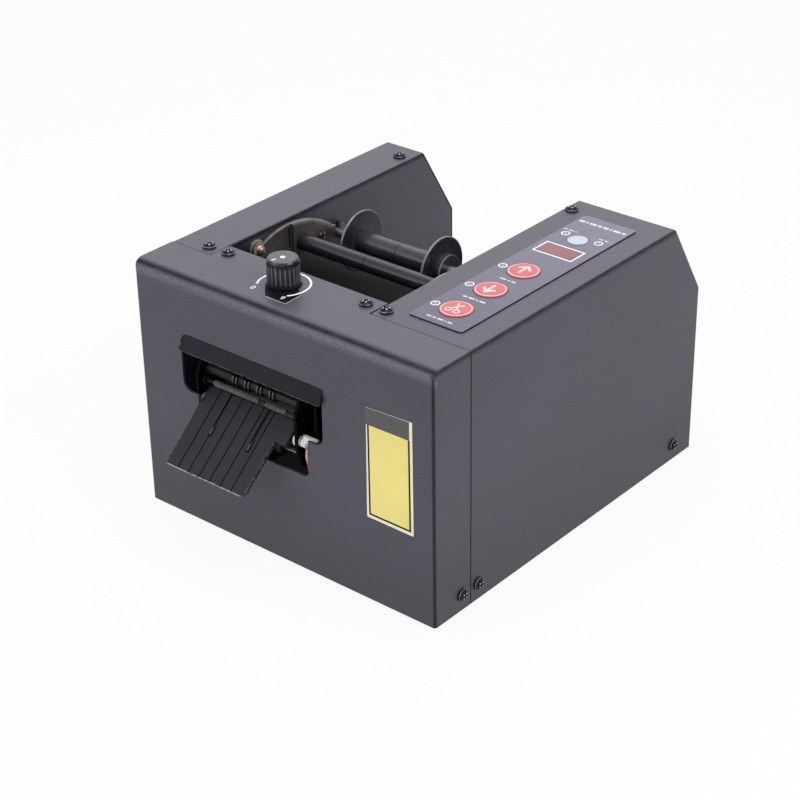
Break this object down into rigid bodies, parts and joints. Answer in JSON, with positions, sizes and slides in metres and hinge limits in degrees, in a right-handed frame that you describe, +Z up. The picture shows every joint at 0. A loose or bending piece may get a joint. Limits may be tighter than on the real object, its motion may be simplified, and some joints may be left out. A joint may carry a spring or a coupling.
{
  "type": "electric tape dispenser",
  "caption": "Desktop electric tape dispenser: folded charcoal housing, exit slot with sloping ramp, feed rollers and powered cutter, reel between two fins, key panel and speed knob",
  "frame": {"origin": "middle of the bounding box's footprint, on the surface that the rubber feet stand on", "axes": "+X to the right of a person facing the front panel, -Y out of the front panel over the exit ramp, +Z up"},
  "size_m": [0.2252, 0.2848, 0.1776],
  "materials": {
    "charcoal_paint": "satin charcoal powder coat with a faint violet cast",
    "tray_paint": "black paint on folded sheet",
    "foot_rubber": "matt black rubber",
    "black_screw": "black oxide",
    "supply_case": "plain folded case",
    "overlay_film": "matt printed film",
    "display_tint": "red-brown tinted window",
    "display_body": "grey display body",
    "board": "green circuit board",
    "lamp": "clear lamp",
    "red_key": "red moulded key",
    "power_key": "pale blue moulded key",
    "knob_plastic": "satin black moulding",
    "shaft_steel": "ground steel",
    "pot_metal": "plated steel",
    "visor_plastic": "satin black moulding",
    "ramp_plastic": "satin black, worn bright along the front edge",
    "white_nylon": "white nylon",
    "black_plastic": "black moulding",
    "wire_cover": "orange wire cover",
    "dark_steel": "dark spring steel",
    "roller_plastic": "polished black moulding",
    "ring_rubber": "black rubber ring",
    "roller_rubber": "dark roller rubber",
    "frame_paint": "black paint on steel plate",
    "gear_plastic": "natural nylon gear",
    "pinion_brass": "cut brass",
    "motor_can": "plated motor case",
    "blade_steel": "ground blade steel",
    "cast_arm": "dark die casting with a bright rim",
    "bronze": "brown bronze"
  },
  "bodies": {
    "housing": {"front_cover": "charcoal_paint", "left_cover": "charcoal_paint", "right_cover": "charcoal_paint", "base_plate": "tray_paint", "cover_brackets": "tray_paint", "rubber_feet": "foot_rubber", "cover_screws": "black_screw", "machine_screws": "black_screw", "power_supply": "supply_case", "control_overlay": "overlay_film", "display_window": "display_tint", "display_module": "display_body", "control_board": "board", "indicator_leds": "lamp", "tie_rods": "shaft_steel", "guide_posts": "shaft_steel", "guide_shaft": "shaft_steel", "potentiometer": "pot_metal", "frame_spacers": "pot_metal", "visor": "visor_plastic", "ramp_bushes": "white_nylon", "exit_switch": "black_plastic", "power_inlet": "black_plastic", "rocker_switch": "black_plastic", "switch_wire": "wire_cover", "feed_frame_left": "frame_paint", "feed_frame_right": "frame_paint", "motor_plate": "frame_paint", "blade_bed": "frame_paint", "feed_motor": "motor_can", "cutter_motor": "motor_can", "lower_blade": "blade_steel", "reel_arm_left": "cast_arm", "reel_arm_right": "cast_arm", "arm_studs": "bronze"},
    "knob": {"speed_knob": "knob_plastic", "knob_shaft": "shaft_steel"},
    "cut_key": {"cut_button": "red_key"},
    "return_key": {"return_button": "red_key"},
    "feed_key": {"feed_button": "red_key"},
    "power_key": {"power_button": "power_key"},
    "ramp": {"exit_ramp": "ramp_plastic", "ramp_shaft": "shaft_steel", "switch_flag": "white_nylon"},
    "exit_roller": {"exit_roller_shaft": "dark_steel", "exit_roller_coil": "dark_steel"},
    "ringed_roller": {"ring_roller": "roller_plastic", "roller_rings": "ring_rubber"},
    "feed": {"feed_roller": "roller_rubber", "feed_shaft": "shaft_steel", "feed_gear": "gear_plastic"},
    "pinch": {"pinch_roller": "roller_rubber"},
    "pinion": {"motor_pinion": "pinion_brass"},
    "crank": {"crank": "pot_metal"},
    "blade": {"blade_carrier": "frame_paint", "upper_blade": "blade_steel"},
    "guide": {"guide_roller": "roller_plastic"},
    "axle": {"reel_axle": "shaft_steel"},
    "reel": {"reel_halves": "roller_plastic"},
    "rocker": {"switch_rocker": "black_plastic"}
  },
  "joints": [
    {"name": "knob_turn", "type": "hinge", "parent": "housing", "child": "knob", "pos_m": [-0.0207, -0.08294, 0.161], "axis": [0, 0, 1], "range_deg": [-150, 150]},
    {"name": "cut_press", "type": "slide", "parent": "housing", "child": "cut_key", "axis": [0, 0, -1], "range_m": [0, 0.0006], "stiffness_N_per_m": 400, "springref_m": -0.0006},
    {"name": "return_press", "type": "slide", "parent": "housing", "child": "return_key", "axis": [0, 0, -1], "range_m": [0, 0.0006], "stiffness_N_per_m": 400, "springref_m": -0.0006},
    {"name": "feed_press", "type": "slide", "parent": "housing", "child": "feed_key", "axis": [0, 0, -1], "range_m": [0, 0.0006], "stiffness_N_per_m": 400, "springref_m": -0.0006},
    {"name": "power_press", "type": "slide", "parent": "housing", "child": "power_key", "axis": [0, 0, -1], "range_m": [0, 0.0006], "stiffness_N_per_m": 400, "springref_m": -0.0006},
    {"name": "ramp_lift", "type": "hinge", "parent": "housing", "child": "ramp", "pos_m": [-0.029, -0.10584, 0.0822], "axis": [1, 0, 0], "range_deg": [-30, 0]},
    {"name": "exit_roller_spin", "type": "hinge", "parent": "housing", "child": "exit_roller", "pos_m": [-0.029, -0.10434, 0.095], "axis": [1, 0, 0], "continuous": true},
    {"name": "ringed_roller_spin", "type": "hinge", "parent": "housing", "child": "ringed_roller", "pos_m": [-0.029, -0.10084, 0.1014], "axis": [1, 0, 0], "continuous": true},
    {"name": "feed_spin", "type": "hinge", "parent": "housing", "child": "feed", "pos_m": [-0.029, -0.07634, 0.089], "axis": [1, 0, 0], "continuous": true},
    {"name": "pinch_spin", "type": "hinge", "parent": "housing", "child": "pinch", "pos_m": [-0.029, -0.07634, 0.1033], "axis": [1, 0, 0], "continuous": true},
    {"name": "pinion_spin", "type": "hinge", "parent": "housing", "child": "pinion", "pos_m": [0.014, -0.08184, 0.07176], "axis": [1, 0, 0], "continuous": true},
    {"name": "crank_turn", "type": "hinge", "parent": "housing", "child": "crank", "pos_m": [0.016, -0.08899, 0.1148], "axis": [-1, 0, 0], "range_deg": [0, 120]},
    {"name": "blade_slide", "type": "slide", "parent": "housing", "child": "blade", "axis": [0, 0, -1], "range_m": [0, 0.0104]},
    {"name": "guide_spin", "type": "hinge", "parent": "housing", "child": "guide", "pos_m": [-0.0196, -0.00934, 0.145], "axis": [1, 0, 0], "continuous": true},
    {"name": "axle_lift", "type": "slide", "parent": "housing", "child": "axle", "axis": [0, 0, 1], "range_m": [0, 0.02]},
    {"name": "reel_spin", "type": "hinge", "parent": "axle", "child": "reel", "pos_m": [-0.0258, 0.02366, 0.1385], "axis": [1, 0, 0], "continuous": true},
    {"name": "rocker_tip", "type": "hinge", "parent": "housing", "child": "rocker", "pos_m": [0.0744, 0.13766, 0.084], "axis": [0, 0, 1], "range_deg": [-20, 0]}
  ],
  "couplings": [
    {"joint": "pinion_spin", "follows": "feed_spin", "ratio": -2},
    {"joint": "pinch_spin", "follows": "feed_spin", "ratio": -1.3333},
    {"joint": "crank_turn", "follows": "blade_slide", "rad_per_m": 201.53}
  ]
}
